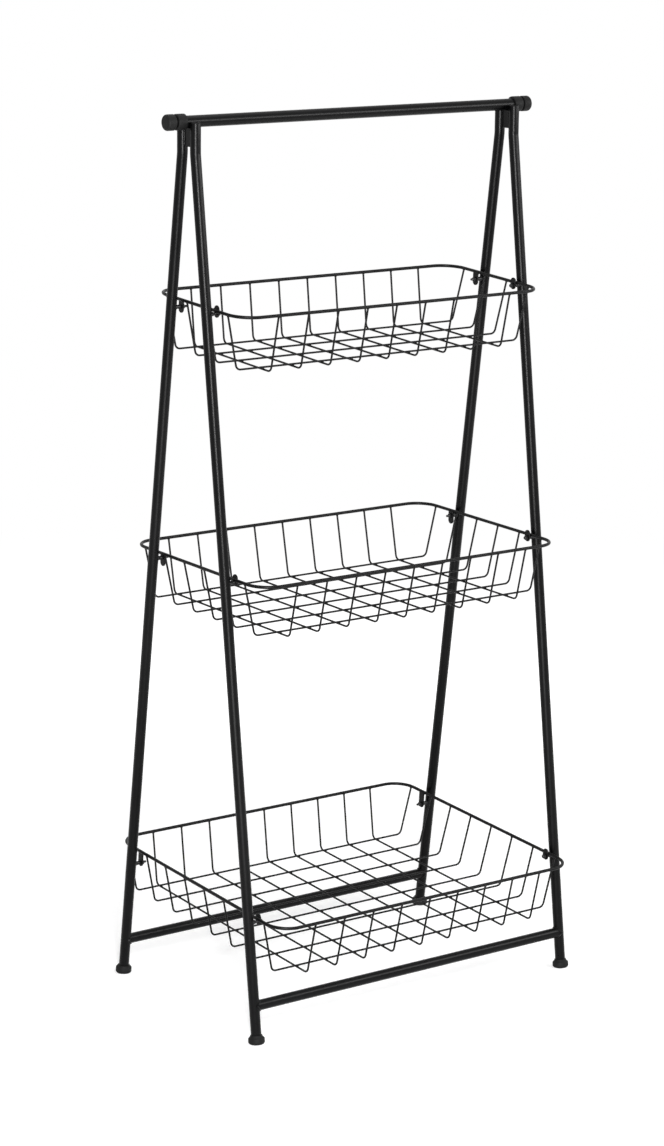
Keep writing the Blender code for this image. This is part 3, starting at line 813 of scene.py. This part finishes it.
def nut_chamfer(face, inwards, shares):
    """Profile of a nut's chamfer, whose circle grows from the round face to the corners."""
    profile = []
    for share in shares:
        limit = NUT_FLATS / 2 * NUT_FACE + (NUT_CORNER - NUT_FLATS / 2) * share
        profile.append((hexagon(limit), face + inwards * NUT_CHAMFER * share))
    return profile


def nut(name, node, domed, matrix):
    """A hexagon nut, closed by a dome or open round the stud's end."""
    seat = -NUT_SEAT + FIT
    shares = [i / NUT_CHAMFER_STEPS for i in range(NUT_CHAMFER_STEPS + 1)]
    near = nut_chamfer(seat, -1, shares)
    if domed:
        far = seat - CAP_NUT_BASE
        tip = seat - CAP_NUT_HEIGHT
        radius = CAP_NUT_DOME_D / 2
        profile = [
            (0, seat),
            *near,
            (hexagon(NUT_CORNER), far + NUT_CHAMFER * DOME_CHAMFER),
            (hexagon(NUT_FLATS / 2), far),
            (radius, far),
        ]
        for i in range(DOME_STEPS):
            angle = pi / 2 * i / DOME_STEPS
            profile.append((radius * cos(angle), tip + radius - radius * sin(angle)))
        profile.append((0, tip))
    else:
        far = seat - NUT_HEIGHT
        profile = [
            (STUD_D / 2, seat),
            *near,
            *nut_chamfer(far, 1, shares[::-1]),
            (STUD_D / 2 + BORE_CHAMFER, far),
            (STUD_D / 2, far + BORE_CHAMFER),
        ]
    shell = Shell()
    turned(shell, profile, NUT_STEPS, matrix, loop=not domed)
    shell.piece(name, "hardware", [node], NUT_SHARP)


def build_fasteners():
    """A stud and a nut at each lug: domed nuts in front, open ones at the rear."""
    at_rim = LEG_X - RIM_X - RIM_D / 2 - GAP
    at_lug = LEG_X - LUG_X - LUG_THICKNESS / 2 - GAP
    for tier_name, tier in TIERS.items():
        for end_name, (y, z) in stud_spots(tier).items():
            rear = end_name == "rear"
            shoulder_end = at_lug if rear else at_rim
            tip = NUT_SEAT + (NUT_HEIGHT + STUD_SHOW if rear else CAP_NUT_BASE)
            for side_name, side in SIDES.items():
                tail = f"{tier_name}_{end_name}_{side_name}"
                matrix = along_x(side, y, z)
                stud(f"stud_{tail}", f"basket_stud_{tail}", shoulder_end, tip, matrix)
                nut(f"hex_nut_{tail}", f"basket_nut_{tail}", not rear, matrix)


# Studio

FLOOR_REACH = 60.0
FLOOR_COLOUR = 0.74
FLOOR_ROUGHNESS = 0.9
FLOOR_LIFT = 0.40            # white that the camera sees on top of the light on the floor
LIFT_RADIUS = 0.55           # the camera's white grows from here to a full white at WHITE_RADIUS
WHITE_RADIUS = 1.6
LIT_RADIUS = 1.1             # the lit colour fades from here to nothing at FAR_RADIUS
FAR_RADIUS = 2.6
WORLD_LIGHT = 0.20
LAMPS = {
    "front": {"place": (-1.45, -2.05, 1.05), "target": (0, 0, 0.7), "size": (0.4, 1.3), "radiance": 56.0},
    "right": {"place": (1.75, -1.80, 1.50), "target": (0, 0, 1.1), "size": (2.6, 0.6), "radiance": 11.0},
    "low": {"place": (-0.85, -1.05, 0.08), "target": (0, 0.15, 0.5), "size": (0.6, 0.6), "radiance": 7.0},
    "above": {"place": (0, 0, 3.2), "target": (0, 0, 0), "size": (2.5, 2.5), "radiance": 1.5},
}
CAMERA_YAW = 36.03
CAMERA_PITCH = 13.20
CAMERA_ROLL = 0.65
CAMERA_DISTANCE = 3.9711
CAMERA_TARGET = Vector((-0.0242, 0.0, 0.5192))
CAMERA_CLIP_END = 100
SENSOR_WIDTH = 36.0
FOCAL_PIXELS = 3234.5
PHOTO_WIDTH = 664


def calculate(tree, operation, first, second):
    """Result of an operation on two node values."""
    node = tree.nodes.new("ShaderNodeMath")
    node.operation = operation
    tree.links.new(first, node.inputs[0])
    tree.links.new(second, node.inputs[1])
    return node.outputs[0]


def seen_rays(tree):
    """One where a ray from the camera, a reflection or glass meets the background."""
    path = tree.nodes.new("ShaderNodeLightPath")
    seen = path.outputs["Is Camera Ray"]
    for name in ("Is Glossy Ray", "Is Transmission Ray"):
        seen = calculate(tree, "MAXIMUM", seen, path.outputs[name])
    return seen


def build_floor():
    """A pale floor that takes shadows near the shelf and is plain white further away."""
    mesh = bpy.data.meshes.new("floor")
    reach = FLOOR_REACH
    corners = [(-reach, -reach, 0), (reach, -reach, 0), (reach, reach, 0), (-reach, reach, 0)]
    mesh.from_pydata(corners, [], [(0, 1, 2, 3)])
    floor = bpy.data.objects.new("floor", mesh)
    bpy.context.scene.collection.objects.link(floor)
    material = bpy.data.materials.new("floor")
    material.use_nodes = True
    tree = material.node_tree
    shader = tree.nodes["Principled BSDF"]
    place = tree.nodes.new("ShaderNodeTexCoord")
    length = tree.nodes.new("ShaderNodeVectorMath")
    length.operation = "LENGTH"
    tree.links.new(place.outputs["Object"], length.inputs[0])
    away = length.outputs["Value"]
    colour = map_range(tree, away, LIT_RADIUS, FAR_RADIUS, FLOOR_COLOUR, 0.0, "SMOOTHSTEP")
    lift = map_range(tree, away, LIFT_RADIUS, WHITE_RADIUS, FLOOR_LIFT, 1.0, "SMOOTHSTEP")
    tree.links.new(colour, shader.inputs["Base Color"])
    tree.links.new(calculate(tree, "MULTIPLY", lift, seen_rays(tree)), shader.inputs["Emission Strength"])
    shader.inputs["Emission Color"].default_value = (1, 1, 1, 1)
    shader.inputs["Roughness"].default_value = FLOOR_ROUGHNESS
    shader.inputs["Specular IOR Level"].default_value = 0.0
    mesh.materials.append(material)


def build_world():
    """Soft light from all round, and a white background where the camera sees it."""
    world = bpy.data.worlds.new("studio")
    bpy.context.scene.world = world
    world.use_nodes = True
    tree = world.node_tree
    background = tree.nodes["Background"]
    background.inputs["Color"].default_value = (1, 1, 1, 1)
    strength = map_range(tree, seen_rays(tree), 0.0, 1.0, WORLD_LIGHT, 1.0)
    tree.links.new(strength, background.inputs["Strength"])


def area_light(name, place, target, size, radiance):
    """A lamp that the camera doesn't see. Its radiance is how bright a reflection of it is."""
    light = bpy.data.lights.new(name, "AREA")
    light.shape = "RECTANGLE"
    light.size, light.size_y = size
    light.energy = radiance * pi * size[0] * size[1]
    obj = bpy.data.objects.new(name, light)
    bpy.context.scene.collection.objects.link(obj)
    obj.location = place
    obj.rotation_euler = (Vector(target) - Vector(place)).to_track_quat("-Z", "Y").to_euler()
    obj.visible_camera = False


def build_camera():
    """The photograph's viewpoint, with a lens that gives its focal length in pixels."""
    yaw, pitch, roll = radians(CAMERA_YAW), radians(CAMERA_PITCH), radians(CAMERA_ROLL)
    forward = Vector((sin(yaw) * cos(pitch), cos(yaw) * cos(pitch), -sin(pitch)))
    right = Vector((cos(yaw), -sin(yaw), 0))
    up = right.cross(forward)
    across = right * cos(roll) + up * sin(roll)
    upward = up * cos(roll) - right * sin(roll)
    camera = bpy.data.cameras.new("camera")
    camera.sensor_fit = "HORIZONTAL"
    camera.sensor_width = SENSOR_WIDTH
    camera.lens = FOCAL_PIXELS / PHOTO_WIDTH * SENSOR_WIDTH
    camera.clip_end = CAMERA_CLIP_END
    obj = bpy.data.objects.new("camera", camera)
    bpy.context.scene.collection.objects.link(obj)
    place = CAMERA_TARGET - forward * CAMERA_DISTANCE
    turn = Matrix((across, upward, -forward)).transposed().to_4x4()
    obj.matrix_world = Matrix.Translation(place) @ turn
    bpy.context.scene.camera = obj


build_legs()
build_feet()
build_cross_bars()
build_top_bar()
build_gussets()
for tier_name, tier in TIERS.items():
    build_basket(tier_name, tier)
build_fasteners()
build_camera()
build_floor()
build_world()
for name, lamp in LAMPS.items():
    area_light(name, **lamp)
bpy.context.scene.view_settings.view_transform = "Standard"
